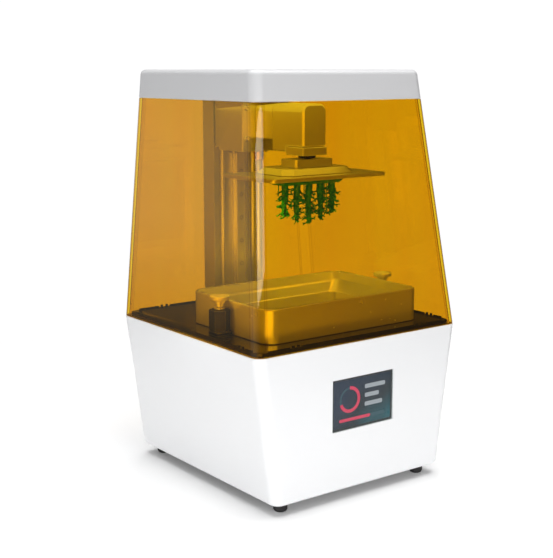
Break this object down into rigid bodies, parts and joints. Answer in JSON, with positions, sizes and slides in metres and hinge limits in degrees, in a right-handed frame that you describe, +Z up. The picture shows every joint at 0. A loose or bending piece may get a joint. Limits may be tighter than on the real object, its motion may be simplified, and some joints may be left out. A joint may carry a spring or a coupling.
{
  "type": "resin printer",
  "caption": "Desktop resin printer: white base with a screen, orange lift-off hood, clamped resin vat and a build plate that rises on a screw-driven column.",
  "frame": {"origin": "on the floor, under the middle of the base", "axes": "+Z up, -Y towards the user (the wall with the screen), +X to the right of someone who faces the screen"},
  "size_m": [0.252, 0.2434, 0.41],
  "materials": {
    "white_shell": "smooth injection-moulded white, fine texture",
    "white_cap": "smooth white, slightly cooler than the base",
    "amber_acrylic": "transparent orange acrylic that blocks ultraviolet light",
    "deck_black": "glossy black",
    "black_plastic": "satin black moulding",
    "black_rubber": "matt black",
    "cast_aluminium": "satin machined and bead blasted",
    "brushed_aluminium": "brushed and clear anodised",
    "extruded_aluminium": "clear anodised extrusion",
    "polished_steel": "ground steel",
    "plain_steel": "zinc plated",
    "dark_metal": "black anodised, satin",
    "motor_black": "black lacquered laminations",
    "brass": "turned brass",
    "display_glass": "black-bordered cover glass over a lit colour display",
    "exposure_glass": "dark exposure screen glass",
    "clear_film": "clear release film",
    "circuit_board": "green solder mask",
    "green_resin": "cured green resin"
  },
  "bodies": {
    "base": {"base_housing": "white_shell", "bottom_plate": "black_plastic", "foot_front_left": "black_rubber", "foot_front_right": "black_rubber", "foot_back_left": "black_rubber", "foot_back_right": "black_rubber", "deck_plate": "deck_black", "lcd_frame": "black_plastic", "lcd_panel": "exposure_glass", "light_reflector": "extruded_aluminium", "uv_lamp_board": "extruded_aluminium", "uv_heat_sink": "extruded_aluminium", "fan_frame": "black_plastic", "motor_bracket": "plain_steel", "z_motor": "motor_black", "column_foot": "dark_metal", "z_column": "extruded_aluminium", "linear_rail": "polished_steel", "column_top_plate": "extruded_aluminium", "top_bearing": "polished_steel", "end_stop": "black_plastic", "vat_frame": "cast_aluminium", "vat_film": "clear_film", "film_clamp_ring": "plain_steel", "hex_post_left": "dark_metal", "hex_post_right": "dark_metal", "screen_glass": "display_glass", "display_module": "circuit_board", "mainboard": "circuit_board", "inlet_plate": "black_plastic", "power_inlet": "black_plastic", "usb_port": "plain_steel", "switch_body": "black_plastic"},
    "fan": {"fan_rotor": "black_plastic"},
    "lead_screw_unit": {"lead_screw": "polished_steel", "shaft_coupler": "extruded_aluminium", "motor_shaft": "polished_steel"},
    "carriage": {"rail_block": "polished_steel", "carriage_shell": "extruded_aluminium", "carriage_block": "extruded_aluminium", "lead_nut": "brass", "end_stop_flag": "plain_steel", "arm_root": "brushed_aluminium", "arm_box": "brushed_aluminium", "arm_clamp_block": "brushed_aluminium", "ball_stud": "dark_metal"},
    "swivel_ball": {"pivot_ball": "polished_steel"},
    "build_head": {"ball_housing": "brushed_aluminium", "platform_hub": "brushed_aluminium", "build_plate": "brushed_aluminium", "sample_print": "green_resin"},
    "left_washer": {"thumb_washer_left": "polished_steel"},
    "left_screw": {"thumb_screw_left": "polished_steel"},
    "right_washer": {"thumb_washer_right": "polished_steel"},
    "right_screw": {"thumb_screw_right": "polished_steel"},
    "hood": {"hood_panel": "amber_acrylic", "hood_cap": "white_cap"},
    "rocker": {"switch_rocker": "black_plastic"}
  },
  "joints": [
    {"name": "hood_lift", "type": "slide", "parent": "base", "child": "hood", "axis": [0, 0, 1], "range_m": [0, 0.26]},
    {"name": "z_travel", "type": "slide", "parent": "base", "child": "carriage", "axis": [0, 0, 1], "range_m": [-0.1405, 0.01], "deforming": ["sample_print"]},
    {"name": "lead_screw_spin", "type": "hinge", "parent": "base", "child": "lead_screw_unit", "pos_m": [0, 0.049, 0.2], "axis": [0, 0, 1], "range_deg": [-460, 6340]},
    {"name": "plate_roll", "type": "hinge", "parent": "carriage", "child": "swivel_ball", "pos_m": [0, -0.0322, 0.3175], "axis": [1, 0, 0], "range_deg": [-1.5, 1.5]},
    {"name": "plate_pitch", "type": "hinge", "parent": "swivel_ball", "child": "build_head", "pos_m": [0, -0.0322, 0.3175], "axis": [0, 1, 0], "range_deg": [-1.5, 1.5]},
    {"name": "left_screw_rise", "type": "slide", "parent": "base", "child": "left_washer", "axis": [0, 0, 1], "range_m": [0, 0.004]},
    {"name": "left_screw_turn", "type": "hinge", "parent": "left_washer", "child": "left_screw", "pos_m": [-0.105, -0.0305, 0.19], "axis": [0, 0, 1], "range_deg": [0, 1800]},
    {"name": "right_screw_rise", "type": "slide", "parent": "base", "child": "right_washer", "axis": [0, 0, 1], "range_m": [0, 0.004]},
    {"name": "right_screw_turn", "type": "hinge", "parent": "right_washer", "child": "right_screw", "pos_m": [0.105, -0.0305, 0.19], "axis": [0, 0, 1], "range_deg": [0, 1800]},
    {"name": "fan_spin", "type": "hinge", "parent": "base", "child": "fan", "pos_m": [0, -0.0312, 0.025], "axis": [0, 0, 1], "continuous": true},
    {"name": "power_switch", "type": "hinge", "parent": "base", "child": "rocker", "pos_m": [0.024, 0.114, 0.047], "axis": [1, 0, 0], "range_deg": [-18, 0]}
  ],
  "couplings": [
    {"joint": "lead_screw_spin", "follows": "z_travel", "rad_per_m": -785.4},
    {"joint": "left_screw_turn", "follows": "left_screw_rise", "rad_per_m": 7854},
    {"joint": "right_screw_turn", "follows": "right_screw_rise", "rad_per_m": 7854}
  ]
}
